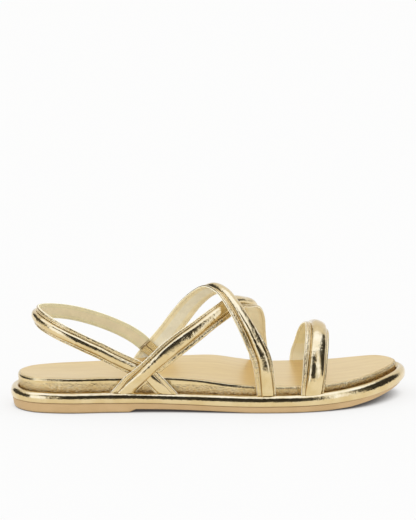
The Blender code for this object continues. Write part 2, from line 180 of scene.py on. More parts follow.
def laid(name, *sheets):
    """Grid primitives laid out on sheets of points, sewn where they meet, open ends closed."""
    bpy.ops.object.select_all(action="DESELECT")
    made = []
    for points in sheets:
        rows, columns = points.shape[:2]
        bpy.ops.mesh.primitive_grid_add(x_subdivisions=columns - 1, y_subdivisions=rows - 1)
        placed = (points - FRAME_ORIGIN) * MM
        bpy.context.object.data.vertices.foreach_set("co", placed.ravel())
        made.append(bpy.context.object)
    for sheet in made:
        sheet.select_set(True)
    bpy.context.view_layer.objects.active = made[0]
    if len(made) > 1:
        bpy.ops.object.join()
    piece = bpy.context.object
    piece.name = piece.data.name = name
    bpy.ops.object.mode_set(mode="EDIT")
    bpy.ops.mesh.select_all(action="SELECT")
    bpy.ops.mesh.remove_doubles(threshold=SEWING_REACH * MM)
    bpy.ops.mesh.fill_holes(sides=0)
    bpy.ops.mesh.select_all(action="SELECT")
    bpy.ops.mesh.normals_make_consistent(inside=False)
    bpy.ops.object.mode_set(mode="OBJECT")
    bpy.ops.object.shade_smooth_by_angle(angle=math.radians(SHARP_ANGLE))
    return piece


def closed(points):
    """A sheet whose last row repeats its first, so that it closes on itself when sewn."""
    return np.concatenate((points, points[:1]))


class Wire:
    """A socket of a material. Sums written with it add Math nodes to the material."""

    def __init__(self, tree, socket=None):
        self.tree = tree
        self.socket = socket

    def node(self, kind, settings, values, out=0):
        """Add a node, set it, fill or link its sockets and give one of its outputs."""
        node = self.tree.nodes.new(kind)
        for key, value in settings.items():
            setattr(node, key, value)
        for key, value in values.items():
            if isinstance(value, Wire):
                self.tree.links.new(value.socket, node.inputs[key])
            else:
                node.inputs[key].default_value = value
        return Wire(self.tree, node.outputs[out])

    def maths(self, operation, *values):
        """Add a Math node."""
        return self.node("ShaderNodeMath", {"operation": operation}, dict(enumerate(values)))

    def __add__(self, other):
        return self.maths("ADD", self, other)

    def __radd__(self, other):
        return self.maths("ADD", other, self)

    def __sub__(self, other):
        return self.maths("SUBTRACT", self, other)

    def __rsub__(self, other):
        return self.maths("SUBTRACT", other, self)

    def __mul__(self, other):
        return self.maths("MULTIPLY", self, other)

    def __rmul__(self, other):
        return self.maths("MULTIPLY", other, self)

    def __truediv__(self, other):
        return self.maths("DIVIDE", self, other)

    def __rtruediv__(self, other):
        return self.maths("DIVIDE", other, self)

    def spread(self, low, high, to_low=0.0, to_high=1.0):
        """Maps low..high to to_low..to_high, held at both ends and eased between."""
        return self.node(
            "ShaderNodeMapRange",
            {"interpolation_type": "SMOOTHSTEP"},
            {"Value": self, "From Min": low, "From Max": high, "To Min": to_low, "To Max": to_high},
        )

    def tint(self, first, second):
        """Blends two colours by this value."""
        return self.node(
            "ShaderNodeMix", {"data_type": "RGBA"}, {0: self, 6: first, 7: second}, out=2
        )


def finish(name):
    """A new material, with its nodes and its Principled shader's sockets."""
    material = bpy.data.materials.new(name)
    material.use_nodes = True
    tree = material.node_tree
    return material, Wire(tree), tree.nodes["Principled BSDF"].inputs


def place_of(wire):
    """Where a point of the piece lies in the frame, in metres."""
    return wire.node("ShaderNodeTexCoord", {}, {}, out=3)


def grain(wire, place, scale, detail=2.0, roughness=0.5):
    """Noise of about one lump every 1/scale metres."""
    return wire.node(
        "ShaderNodeTexNoise",
        {},
        {"Vector": place, "Scale": scale, "Detail": detail, "Roughness": roughness},
    )


def bumped(wire, height, depth):
    """A surface normal from a height of 0 to 1 that stands for depth metres."""
    return wire.node("ShaderNodeBump", {}, {"Height": height, "Distance": depth, "Strength": 1.0})


def link(wire, socket):
    """Feed a socket of a shader."""
    wire.tree.links.new(wire.socket, socket)


# The outsole's edge, from the tread up: how far it stands in from the rim's outline, and its
# share of the way up from the tread to the seam.
OUTSOLE_EDGE = (
    (4.6, 0.0), (3.6, 0.0), (3.3, 0.04), (2.3, 0.10), (1.95, 0.17), (1.75, 0.35),
    (1.35, 0.65), (1.0, 0.93), (1.15, 0.985), (1.7, 1.0), (4.0, 1.0),
)
TAN = (0.57, 0.385, 0.188, 1.0)
DEEP_TAN = (0.52, 0.345, 0.158, 1.0)

proud = sole("proud", RING[:, 0])
outsole_levels = []
for inset, share in OUTSOLE_EDGE:
    ring = offset(proud - inset)
    under = tread_height(ring[:, 0])
    top = sole("seam", ring[:, 0])
    outsole_levels.append(at_height(ring, under + share * (top - under)))
under = patch(outsole_levels[0])
under[..., 2] = tread_height(under[..., 0])
over = patch(outsole_levels[-1])
over[..., 2] = sole("seam", over[..., 0])
tan_outsole = laid("tan_outsole", closed(np.stack(outsole_levels, axis=1)), under, over)

rubber, wire, shader = finish("tan_rubber")
place = place_of(wire)
cloud = grain(wire, place, 60.0, 3.0)
speck = grain(wire, place, 2600.0, 1.0)
link(cloud.spread(0.3, 0.7).tint(DEEP_TAN, TAN), shader["Base Color"])
link(speck.spread(0.3, 0.7, 0.50, 0.62), shader["Roughness"])
link(bumped(wire, speck + cloud * 2.0, 0.00002), shader["Normal"])
tan_outsole.data.materials.append(rubber)
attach(tan_outsole, "root")
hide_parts("outsole")


# Footbed. Moulded foam wrapped in pale gold leather. The wrap is drawn down over the
# wall and lasted under, so it gathers into small upright folds where it meets the rim.
# Its top is hollowed a little under the heel.
HEEL_CUP_DEPTH = 0.9
HEEL_CUP_X = 45.0
HEEL_CUP_REACH = 40.0


def arcs(start, *turns):
    """A profile seen from the side: each arc turns its normal to an angle at a radius.

    Angles are above level and outward, and the points run from the low end inwards.
    """
    points = [(0.0, 0.0)]
    for end, radius, steps in turns:
        out, up = points[-1]
        first, last = math.radians(start), math.radians(end)
        for turn in np.linspace(first, last, steps + 1)[1:]:
            points.append((
                out + radius * (math.cos(turn) - math.cos(first)),
                up + radius * (math.sin(turn) - math.sin(first)),
            ))
        start = end
    return np.array(points)


def lumps(points, size, seed):
    """Smooth noise from -1 to 1 at points, with lumps of about size across."""
    flat = points.reshape(-1, 3) / size + seed
    return np.array([noise.noise(Vector(p)) for p in flat]).reshape(points.shape[:-1])


def insole_top(x, y):
    """Height of the insole: from its outer to its inner edge, with a shallow heel cup."""
    outer_y = np.interp(x, RING[:HALF_LAP, 0], RING[:HALF_LAP, 1])
    inner_y = np.interp(x, RING[:HALF_LAP:-1, 0], RING[:HALF_LAP:-1, 1])
    across = np.clip((y - outer_y) / np.maximum(inner_y - outer_y, 1.0), 0.0, 1.0)
    blend = across * across * (3.0 - 2.0 * across)
    edge = sole("outer", x) * (1.0 - blend) + sole("inner", x) * blend
    along = np.clip(1.0 - ((x - HEEL_CUP_X) / HEEL_CUP_REACH) ** 2, 0.0, 1.0)
    return edge - HEEL_CUP_DEPTH * along * 4.0 * across * (1.0 - across)


def foot_sheet(ring, rise):
    """A sheet that fills a ring and runs at a rise above the insole's shape inside it."""
    sheet = patch(ring)
    inside = sheet[1:-1, 1:-1]
    inside[..., 2] = insole_top(inside[..., 0], inside[..., 1]) + rise
    return sheet


# Between two pieces that touch.
CLEARANCE = 0.3
WALL_STEPS = 30
# Over its top 8 mm the wall leans out by this much.
WALL_LEAN = 0.45
LEAN_REACH = 8.0
# The wrap's top edge: nearly upright, then a broad bevel, then a tight turn on to the top.
EDGE = arcs(0.0, (6.5, 5.0, 2), (34.0, 2.9, 6), (90.0, 0.8, 6))
EDGE_HEIGHT = EDGE[-1, 1]
# Then it dips under the insole: out from the outline, and up from insole_top. Further in it
# runs at WRAP_TOP from insole_top.
UNDER_INSOLE = ((-2.6, -0.03), (-4.0, -0.25))
WRAP_TOP = -0.6
# The wall is drawn in where the rim is stuck to it, fully up to UNDER_CREST below the rim's
# crest. It gathers there into upright folds, slanted a little, and has soft dents all over.
UNDER_CREST = 0.2
TUCK_DEPTH = 0.5
TUCK_REACH = 3.0
GATHER_REACH = 6.0
FOLD_SIZE = 2.8
FOLD_DEPTH = 0.12
FOLD_UPRIGHT = 0.3
FOLD_SLANT = 0.5
DENT_SIZE = 3.4
DENT_DEPTH = 0.02
# The finish is gathered, and painted with bronze shade, fully up to this far over the crest.
GATHER_AND_SHADE_OVER_CREST = 0.6
GOLD = (0.80, 0.635, 0.345, 1.0)
DEEP_GOLD = (0.74, 0.56, 0.27, 1.0)
# Bronze painted into the wrap as shade, low down where the rim meets the wall.
BRONZE_PAINTED_SHADE = (0.72, 0.47, 0.17, 1.0)

edge_top = insole_top(RING[:, 0], RING[:, 1])
seam = sole("seam", RING[:, 0])
crest = sole("crest", RING[:, 0])
low = seam + CLEARANCE
wall_levels = []
for share in np.linspace(0.0, 1.0, WALL_STEPS):
    height = low + share * (edge_top - EDGE_HEIGHT - low)
    clear = height - crest + UNDER_CREST
    tuck = TUCK_DEPTH * np.clip(1.0 - clear / TUCK_REACH, 0.0, 1.0) ** 2
    lean = WALL_LEAN * np.clip((height - edge_top) / LEAN_REACH, -1.0, 0.0)
    level = at_height(offset(lean - tuck), height)
    gather = np.clip(1.0 - clear / GATHER_REACH, 0.0, 1.0)
    slanted = level * (1.0, 1.0, FOLD_UPRIGHT) + level[:, 2:] * (FOLD_SLANT, 0.0, 0.0)
    folds = lumps(slanted, FOLD_SIZE, 8.0) * FOLD_DEPTH * gather
    soft_dents = lumps(level, DENT_SIZE, 5.0) * DENT_DEPTH
    level[:, :2] += RING_NORMAL * (folds + soft_dents)[:, None]
    wall_levels.append(level)
for out, up in EDGE[1:]:
    wall_levels.append(at_height(offset(out), edge_top - EDGE_HEIGHT + up))
for out, up in UNDER_INSOLE:
    wall_levels.append(at_height(offset(out), edge_top + up))
under = patch(wall_levels[0])
over = foot_sheet(wall_levels[-1], WRAP_TOP)
footbed_wrap = laid("footbed_wrap", closed(np.stack(wall_levels, axis=1)), under, over)
# How much the wrap is gathered and painted with shade, from 1 at the rim's crest to 0 well above
# it.
places = np.empty(len(footbed_wrap.data.vertices) * 3)
footbed_wrap.data.vertices.foreach_get("co", places)
places = places.reshape(-1, 3) / MM + FRAME_ORIGIN
clear = places[:, 2] - sole("crest", places[:, 0]) - GATHER_AND_SHADE_OVER_CREST
gather = np.clip(1.0 - clear / GATHER_REACH, 0.0, 1.0)
layer = footbed_wrap.data.attributes.new("gather", "FLOAT", "POINT")
layer.data.foreach_set("value", gather.astype(np.float32))

wrap, wire, shader = finish("wrap_leather")
place = place_of(wire)
gather_and_shade = wire.node("ShaderNodeAttribute", {"attribute_name": "gather"}, {}, out=2)
upright = wire.node("ShaderNodeMapping", {}, {"Vector": place, "Scale": (1.0, 1.0, 0.45)})
pebble = grain(wire, place, 1100.0, 2.0, 0.6)
crumple = grain(wire, upright, 900.0, 3.0, 0.6)
cloud = grain(wire, place, 70.0, 2.0)
# Painted shade: the colour goes to bronze in the folds and low down by the rim, standing in for the
# rim's shade and its reflection in the wall.
painted_fold_shade = gather_and_shade * crumple.spread(0.40, 0.60, 1.0, 0.25)
leather_gold = cloud.spread(0.35, 0.65).tint(DEEP_GOLD, GOLD)
link(painted_fold_shade.tint(leather_gold, BRONZE_PAINTED_SHADE), shader["Base Color"])
shader["Metallic"].default_value = 1.0
link(gather_and_shade * 0.08 + 0.16, shader["Roughness"])
wrinkles = (pebble * 0.6 + crumple) * (gather_and_shade + 0.14)
link(bumped(wire, wrinkles, 0.0011), shader["Normal"])
footbed_wrap.data.materials.append(wrap)
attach(footbed_wrap, "root")
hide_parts("footbed")


# Insole. A sock of the same gold leather, brushed satin, glued on top of the footbed just
# inside the wrap's rounded edge.
SOCK_INSET = 1.5
# The sock's edge from its underside to its top: out from its outline, and up from insole_top.
SOCK_EDGE = (
    (-0.9, -0.40), (-0.1, -0.36), (0.0, -0.10), (0.0, 0.04), (-0.1, 0.14), (-0.3, 0.20),
    (-0.7, 0.23), (-1.3, 0.24),
)
SATIN = (0.855, 0.66, 0.33, 1.0)
DEEP_SATIN = (0.785, 0.58, 0.265, 1.0)

insole_levels = []
for out, rise in SOCK_EDGE:
    insole_levels.append(at_height(offset(out - SOCK_INSET), edge_top + rise))
under = foot_sheet(insole_levels[0], SOCK_EDGE[0][1])
over = foot_sheet(insole_levels[-1], SOCK_EDGE[-1][1])
insole_sock = laid("insole_sock", closed(np.stack(insole_levels, axis=1)), under, over)

sock, wire, shader = finish("sock_leather")
place = place_of(wire)
combed = wire.node("ShaderNodeMapping", {}, {"Vector": place, "Scale": (0.06, 1.0, 0.5)})
streak = grain(wire, combed, 1500.0, 3.0, 0.6)
broad = grain(wire, combed, 260.0, 2.0)
pore = grain(wire, place, 1700.0, 1.0)
brushed = (streak * 0.6 + broad * 0.4).spread(0.38, 0.62)
link(brushed.tint(DEEP_SATIN, SATIN), shader["Base Color"])
shader["Metallic"].default_value = 0.85
link(streak.spread(0.3, 0.7, 0.28, 0.36), shader["Roughness"])
link(bumped(wire, streak * 0.7 + pore * 0.3, 0.00004), shader["Normal"])
insole_sock.data.materials.append(sock)
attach(insole_sock, "root")
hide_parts("insole")


# Rim. A welt of mirror-like foil leather puffed over a cord and stuck round the wall. It is
# nearly upright outside, round on top, and falls away again to the wall.
def dents(points, layers, seed=0.0):
    """Layers of lumps added up. A layer has a size, a depth and a seed."""
    return sum(lumps(points, size, seed + own) * depth for size, depth, own in layers)


RIM = arcs(
    -88.0, (-12.0, 0.57, 5), (6.5, 7.8, 6), (34.0, 4.9, 8), (90.0, 3.2, 9), (140.0, 2.0, 7)
)
RIM_OUT = RIM[:, 0] - RIM[:, 0].max()
RIM_UP = RIM[:, 1] / RIM[:, 1].max()
BEHIND_WALL = -1.0
# How far the rim's top stands over the crest, and how much more along the waist.
CREST_LIFT = 0.45
WAIST_LIFT = 0.55
WAIST = (30.0, 70.0, 170.0, 200.0)
RIM_DENTS = ((5.0, 0.03, 1.0), (1.6, 0.02, 2.0))

low = seam + CLEARANCE
top = crest + CREST_LIFT + WAIST_LIFT * np.interp(RING[:, 0], WAIST, (0.0, 1.0, 1.0, 0.0))
rim_levels = [at_height(offset(BEHIND_WALL), low)]
for out, up in zip(RIM_OUT, RIM_UP):
    level = at_height(offset(proud + out), low + up * (top - low))
    level[:, :2] += RING_NORMAL * dents(level, RIM_DENTS)[:, None]
    rim_levels.append(level)
rim_levels.append(at_height(offset(BEHIND_WALL), low + 0.5 * (top - low)))
rim_levels.append(rim_levels[0])
rim_welt = laid("rim_welt", closed(np.stack(rim_levels, axis=1)))

foil, wire, shader = finish("foil_leather")
place = place_of(wire)
pebble = grain(wire, place, 1500.0, 1.0)
crumple = grain(wire, place, 620.0, 2.0, 0.55)
cloud = grain(wire, place, 90.0, 2.0)
link(cloud.spread(0.35, 0.65).tint(DEEP_GOLD, GOLD), shader["Base Color"])
shader["Metallic"].default_value = 1.0
link(crumple.spread(0.3, 0.7, 0.10, 0.16), shader["Roughness"])
shader["Coat Weight"].default_value = 0.5
shader["Coat Roughness"].default_value = 0.12
link(bumped(wire, pebble * 0.4 + crumple, 0.00010), shader["Normal"])
rim_welt.data.materials.append(foil)
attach(rim_welt, "root")
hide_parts("padded_rim")


# Straps. Each is foil leather drawn over a foam cord and sewn to a suede lining along both
# sides of the cord, which leaves a flat stitched flange on each side. The ends go down
# between the wall and the rim.
STRAP_STEP = 0.45
# Heights over the strap's inner face, and how far its crease lies below the flange.
FLANGE = 1.45
LINING = 0.6
CREASE_DEPTH = 0.3
# x, y and z of the middle of the strap's inner face, its width and the height of its cord.
INSTEP_ROUTE = (
    (160.8, -40.9, 7.0, 11.4, 1.8), (160.4, -41.2, 11.0, 11.6, 2.5),
    (159.2, -41.8, 21.9, 12.0, 4.0), (157.2, -40.4, 34.0, 12.6, 4.5),
    (152.0, -36.6, 46.0, 13.0, 4.6), (146.0, -30.2, 57.4, 13.0, 4.7),
    (139.8, -20.6, 67.2, 13.0, 4.8), (135.0, -11.5, 72.4, 13.0, 5.0),
    (130.5, -1.5, 73.3, 13.4, 5.0), (125.4, 8.8, 69.2, 14.0, 5.0),
    (118.8, 17.0, 61.6, 14.0, 5.0), (111.4, 23.0, 51.0, 14.0, 5.0),
    (103.8, 27.0, 39.8, 13.6, 5.0), (95.6, 28.9, 30.0, 13.0, 4.8),
    (88.0, 28.6, 21.5, 12.8, 4.4), (83.0, 27.7, 13.5, 12.4, 3.4), (80.8, 27.6, 9.6, 12.0, 3.0),
)
VAMP_ROUTE = (
    (64.6, -29.4, 8.0, 12.2, 1.8), (68.9, -29.7, 12.4, 12.6, 2.6),
    (73.8, -30.2, 18.4, 13.0, 4.4), (81.7, -32.0, 25.1, 13.0, 4.8),
    (87.5, -32.3, 30.0, 13.0, 4.8), (96.4, -31.5, 37.4, 13.4, 4.8),
    (105.9, -29.6, 44.2, 13.4, 4.7), (116.4, -26.6, 51.0, 12.6, 4.6),
    (126.8, -22.0, 57.6, 11.9, 4.6), (135.0, -17.8, 62.0, 11.8, 4.6),
    (142.0, -11.0, 65.3, 12.0, 4.8), (149.8, -1.0, 63.4, 13.0, 5.0),
    (156.8, 10.0, 59.3, 13.0, 5.0), (160.5, 19.5, 51.4, 13.0, 5.0),
    (162.9, 30.4, 38.0, 13.0, 5.0), (165.6, 38.4, 24.0, 13.0, 4.4),
    (167.4, 40.0, 13.0, 12.6, 3.6), (167.8, 40.2, 6.6, 12.0, 3.0),
)
SLING_ROUTE = (
    (100.6, -31.9, 8.0, 10.8, 1.7), (96.8, -32.4, 12.4, 10.8, 1.9),
    (91.0, -32.3, 18.8, 11.0, 2.4), (86.6, -30.3, 23.0, 11.0, 3.2),
    (79.8, -29.2, 27.3, 10.4, 4.0), (70.2, -29.5, 32.1, 10.2, 4.0),
    (62.0, -29.8, 36.3, 10.0, 4.0), (54.4, -29.3, 40.4, 9.9, 4.0),
    (46.2, -28.4, 44.2, 9.9, 4.0), (38.7, -26.9, 47.8, 10.0, 4.0),
    (30.6, -23.7, 51.6, 10.4, 4.0), (24.2, -19.4, 54.8, 10.8, 4.0),
    (20.0, -14.0, 57.0, 11.2, 4.0), (17.4, -7.0, 58.4, 11.0, 4.0),
    (16.6, 0.0, 59.0, 10.8, 4.0), (17.4, 7.5, 58.9, 10.4, 4.0), (20.6, 15.0, 58.4, 10.0, 4.0),
    (26.5, 21.0, 57.4, 9.8, 4.0), (33.5, 24.7, 56.2, 9.6, 4.0), (43.0, 28.0, 53.9, 9.6, 4.0),
    (53.0, 29.6, 50.8, 9.6, 4.0), (62.8, 30.0, 47.2, 9.6, 4.0), (72.7, 29.2, 42.9, 9.6, 3.6),
    (80.0, 27.8, 39.0, 9.6, 2.8), (85.2, 26.6, 35.4, 9.4, 2.2), (88.8, 26.0, 32.1, 9.2, 2.0),
)
TOE_ROUTE = (
    (189.6, -41.9, 7.0, 13.8, 1.8), (189.7, -42.4, 11.0, 14.6, 2.6),
    (190.3, -42.3, 17.5, 15.4, 4.4), (191.2, -41.2, 24.0, 15.9, 5.0),
    (192.0, -38.5, 30.0, 16.0, 5.2), (193.6, -33.0, 38.0, 16.0, 5.2),
    (195.2, -25.4, 44.3, 16.0, 5.2), (196.8, -15.0, 48.0, 16.0, 5.2),
    (198.0, 0.0, 46.8, 16.0, 5.2), (198.0, 14.0, 43.0, 16.0, 5.2),
    (197.8, 26.0, 36.8, 16.0, 5.2), (197.2, 35.6, 28.5, 15.7, 5.0),
    (195.6, 41.8, 20.0, 15.4, 4.6), (194.6, 42.6, 11.4, 14.6, 3.6),
    (194.2, 42.6, 6.8, 13.8, 3.0),
)
# Below WALL_TOP straps lie on the footbed's wall, and above ARCH_TOP on the foot, whose
# middle line is FOOT_AXIS_Z up.
WALL_TOP = 20.0
ARCH_TOP = 45.0
FOOT_AXIS_Z = 30.0
FORWARD_LEAN = 0.3
SLING_TURN_X = 42.0
SLING_LEAN = 0.16
# Which way a strap faces is evened out over this far each way.
FACING_REACH = 9.0


def over_the_wall(height):
    """0 at the footbed's wall and 1 up on the foot."""
    return np.clip((height - WALL_TOP) / (ARCH_TOP - WALL_TOP), 0.0, 1.0)


def off_the_foot(point):
    """Outward from the footbed's wall, and higher up outward from the arch of the foot."""
    near = int(np.argmin(np.linalg.norm(RING - point[:2], axis=1)))
    wall = np.append(RING_NORMAL[near], 0.0)
    height = max(point[2] - FOOT_AXIS_Z, 0.0)
    arch = np.array((FORWARD_LEAN * height, point[1], height))
    blend = over_the_wall(point[2])
    return wall * (1.0 - blend) + arch / np.linalg.norm(arch) * blend


def off_the_heel(point):
    """Outward from the heel's middle line, leaning back a little."""
    away = np.array((min(point[0] - SLING_TURN_X, 0.0), point[1], 0.0))
    lean = SLING_LEAN * over_the_wall(point[2])
    return away / np.linalg.norm(away) + np.array((0.0, 0.0, lean))


class Route:
    """A strap's way over the foot: where it runs, which way it faces, its width and height.

    It has a station every step. It is rolled towards the toe by degrees that roll gives at
    distances along it.
    """

    def __init__(self, rows, facing, step=STRAP_STEP, roll=((0.0, 0.0),)):
        rows = np.array(rows, float)
        along = walked(rows[:, :3])
        self.length = along[-1]
        self.at = np.linspace(0.0, self.length, int(self.length / step) + 1)
        columns = [smooth(along, column, self.at) for column in rows.T]
        self.middle = np.column_stack(columns[:3])
        self.width, self.rise = columns[3:]
        tangent = np.gradient(self.middle, axis=0)
        self.tangent = tangent / np.linalg.norm(tangent, axis=1)[:, None]
        angle = np.radians(np.interp(self.at, *np.array(roll).T))
        facings = np.column_stack(([facing(point) for point in self.middle], angle))
        reach = int(FACING_REACH / step)
        padded = np.pad(facings, ((reach, reach), (0, 0)), mode="edge")
        weights = np.hanning(2 * reach + 1)
        weights /= weights.sum()
        evened = [np.convolve(column, weights, "valid") for column in padded.T]
        out = np.column_stack(evened[:3])
        angle = evened[3][:, None]
        out -= self.tangent * np.sum(out * self.tangent, axis=1)[:, None]
        out /= np.linalg.norm(out, axis=1)[:, None]
        self.out = out * np.cos(angle) - np.cross(out, self.tangent) * np.sin(angle)
        self.across = np.cross(self.out, self.tangent)

    def lay(self, u, v):
        """Points at u across and v up from the inner face, one row for each station."""
        across = self.across[:, None] * np.asarray(u, float)[..., None]
        up = self.out[:, None] * np.asarray(v, float)[..., None]
        return self.middle[:, None] + across + up


# Points across the cord, and how far from a strap's end it starts to change its shape.
CORE_POINTS = 27
END_REACH = 34.0
STITCH_PITCH = 1.5
STITCH_INSET = 0.75
# The stitches draw the flange down, most where they go in.
PUCKER_DEPTH = 0.32
PUCKER_REACH = 0.4
# The foil is smooth where it is turned under, below this height, and fades to dented above.
SMOOTH_TOP = 0.9
SMOOTH_FADE = 0.4
# Dents in the foil: broad ripples, deepest over the cord, and pebbles on the flanges only.
RIPPLES = ((7.0, 0.08, 0.0), (2.6, 0.025, 4.0))
PEBBLES = ((1.0, 0.055, 9.0), (2.0, 0.05, 13.0))
# A flange in section: its share of the way from the crease to the edge, and its height.
FLANGE_SECTION = (
    (1.0, 0.5), (1.02, 0.95), (0.985, 1.26), (0.93, 1.40), (0.82, 1.49), (0.68, 1.52),
    (0.54, 1.50), (0.40, 1.49), (0.28, 1.52), (0.18, 1.54), (0.10, 1.48), (0.045, 1.33),
)
# Half of the lining's underside in section, from its edge: a share of half its width, and its
# height. Its upper side is flat.
LINING_SECTION = (
    (1.0, 0.5), (1.0, 0.2), (0.99, 0.08), (0.96, 0.02), (0.9, 0.0), (0.6, 0.0), (0.3, 0.0),
)
LINING_TOP = (0.97, 0.5, 0.0, -0.5, -0.97)
LINING_SHOWS = 0.18


def near_ends(route):
    """1 at a strap's ends and 0 away from them, one row for each station."""
    inward = np.minimum(route.at, route.length - route.at)
    share = np.clip(1.0 - inward / END_REACH, 0.0, 1.0)
    return (share * share * (3.0 - 2.0 * share))[:, None]


def core_edges(route, core):
    """The cord's middle across the strap, and how far it reaches to each side.

    core gives its share of the strap's width at mid length and at the ends, and how far it
    sits off the strap's middle at mid length and at the outer end.
    """
    middle_share, end_share, shift, end_shift = core
    ends = near_ends(route)
    half = route.width[:, None] / 2.0
    reach = half * (middle_share + (end_share - middle_share) * ends)
    centre = shift + (end_shift - shift) * ends * (route.at < route.length / 2.0)[:, None]
    return centre, reach


def cover(name, route, core, boxy, seed):
    """The foil cover along a route: flat flanges, a tight crease and the puffed cord.

    The cord is an ellipse in section where boxy, given at distances along it, is 1, and
    flatter on top the lower that is.
    """
    boxy = np.interp(route.at, *np.array(boxy).T)[:, None]
    half = route.width[:, None] / 2.0
    centre, reach = core_edges(route, core)
    turn = np.linspace(math.pi, 0.0, CORE_POINTS)[None, :]
    core_u = centre + reach * np.sign(np.cos(turn)) * np.abs(np.cos(turn)) ** boxy
    crease = FLANGE - CREASE_DEPTH
    core_v = crease + (route.rise[:, None] - crease) * np.sin(turn) ** boxy
    flange_share, flange_v = np.array(FLANGE_SECTION).T
    sides = []
    for side in (-1.0, 1.0):
        edge = centre + side * reach
        u = edge + (side * half - edge) * flange_share[None, :]
        from_crease = np.abs(u - edge)
        v = np.ones_like(half) * flange_v[None, :]
        phase = 2.0 * math.pi * route.at[:, None] / STITCH_PITCH + side
        pucker = 0.5 + 0.5 * np.cos(phase)
        near_row = np.exp(-(((from_crease - STITCH_INSET) / PUCKER_REACH) ** 2))
        v -= PUCKER_DEPTH * near_row * (0.35 + 0.65 * pucker)
        sides.append((u, v))
    u = np.hstack((sides[0][0], core_u, sides[1][0][:, ::-1]))
    v = np.hstack((sides[0][1], core_v, sides[1][1][:, ::-1]))
    points = route.lay(u, v)
    puffed = np.clip((v - FLANGE) / 2.0, 0.0, 1.0)
    outside = np.clip((v - SMOOTH_TOP) / SMOOTH_FADE, 0.0, 1.0)
    ripples = dents(points, RIPPLES, seed) * (0.4 + 0.6 * puffed)
    pebbles = dents(points, PEBBLES, seed) * (1.0 - puffed)
    points += route.out[:, None] * ((ripples + pebbles) * outside)[..., None]
    return laid(name, np.concatenate((points, points[:, :1]), axis=1))


def lining(name, route):
    """The suede strip under a strap, a little wider than the foil, so that its edge shows."""
    half = route.width[:, None] / 2.0 + LINING_SHOWS
    section = [(-share, height) for share, height in LINING_SECTION]
    section += [(0.0, 0.0), *reversed(LINING_SECTION)]
    section += [(share, LINING) for share in LINING_TOP]
    shares, heights = np.array(section).T
    points = route.lay(half * shares, np.ones_like(half) * heights)
    return laid(name, np.concatenate((points, points[:, :1]), axis=1))


# A stitch shows over a share of its pitch. It is level between its two bends, and its ends dip
# and narrow into their holes.
STITCH_SHOWS = 0.78
THREAD_RADIUS = 0.2
THREAD_BEND = 0.2
THREAD_DIP = 0.2
THREAD_NARROWS = 0.7
# The rows run over this span of a strap's length: one on each flange, sunk in the foil, and
# one along each side of the lining, just proud of it.
STITCHED_SPAN = (0.03, 0.97)
FOIL_ROW_SUNK = 0.12
LINING_ROW_INSET = 1.5
LINING_ROW_PROUD = 0.02


def stitches(name, *rows):
    """Rows of stitches, each stitch a short thread that dips into the leather at its ends."""
    made = []
    for points in rows:
        bpy.ops.object.select_all(action="DESELECT")
        bpy.ops.mesh.primitive_cylinder_add(
            vertices=6, radius=THREAD_RADIUS * MM, depth=STITCH_PITCH * STITCH_SHOWS * MM,
            rotation=(0.0, math.pi / 2.0, 0.0),
        )
        thread = bpy.context.object
        bpy.ops.object.transform_apply(location=False, rotation=True, scale=False)
        bpy.ops.object.mode_set(mode="EDIT")
        for cut in (THREAD_BEND * MM, -THREAD_BEND * MM):
            bpy.ops.mesh.select_all(action="SELECT")
            bpy.ops.mesh.bisect(plane_co=(cut, 0.0, 0.0), plane_no=(1.0, 0.0, 0.0))
        bpy.ops.object.mode_set(mode="OBJECT")
        for vertex in thread.data.vertices:
            if abs(vertex.co.x) > 1.5 * THREAD_BEND * MM:
                vertex.co.z -= THREAD_DIP * MM
                vertex.co.y *= THREAD_NARROWS
        curve = bpy.data.curves.new("stitch_row", "CURVE")
        curve.dimensions = "3D"
        curve.twist_mode = "MINIMUM"
        spline = curve.splines.new("POLY")
        spline.points.add(len(points) - 1)
        placed = (points - FRAME_ORIGIN) * MM
        spline.points.foreach_set("co", np.column_stack((placed, np.ones(len(placed)))).ravel())
        row = bpy.data.objects.new("stitch_row", curve)
        bpy.context.collection.objects.link(row)
        array = thread.modifiers.new("array", "ARRAY")
        array.fit_type = "FIT_CURVE"
        array.curve = row
        array.use_relative_offset = False
        array.use_constant_offset = True
        array.constant_offset_displace = (STITCH_PITCH * MM, 0.0, 0.0)
        bend = thread.modifiers.new("bend", "CURVE")
        bend.object = row
        bpy.ops.object.modifier_apply(modifier="array")
        bpy.ops.object.modifier_apply(modifier="bend")
        bpy.data.objects.remove(row)
        made.append(thread)
    for thread in made:
        thread.select_set(True)
    bpy.context.view_layer.objects.active = made[0]
    bpy.ops.object.join()
    piece = bpy.context.object
    piece.name = piece.data.name = name
    bpy.ops.object.shade_smooth()
    return piece


def stitch_rows(route, core):
    """The stitch lines of a strap: two on the foil side and two on the lining side."""
    first, last = STITCHED_SPAN
    keep = (route.at > first * route.length) & (route.at < last * route.length)
    centre, reach = core_edges(route, core)
    rows = []
    for side in (-1.0, 1.0):
        for u, v in (
            (centre + side * (reach + STITCH_INSET), FLANGE - FOIL_ROW_SUNK),
            (side * (route.width[:, None] / 2.0 - LINING_ROW_INSET), -LINING_ROW_PROUD),
        ):
            rows.append(route.lay(u, np.full_like(u, v))[keep, 0])
    return rows


def strip_share(wire, axis):
    """A strip's own map: the share of the way round its section, axis 0, or along it, axis 1."""
    uv = wire.node("ShaderNodeTexCoord", {}, {}, out=2)
    return wire.node("ShaderNodeSeparateXYZ", {}, {"Vector": uv}, out=axis)


# Round the cover's section, the cord's middle lies here, and the flanges start this far off.
CORD_MIDDLE = 0.49
FLANGE_START = (0.255, 0.275)

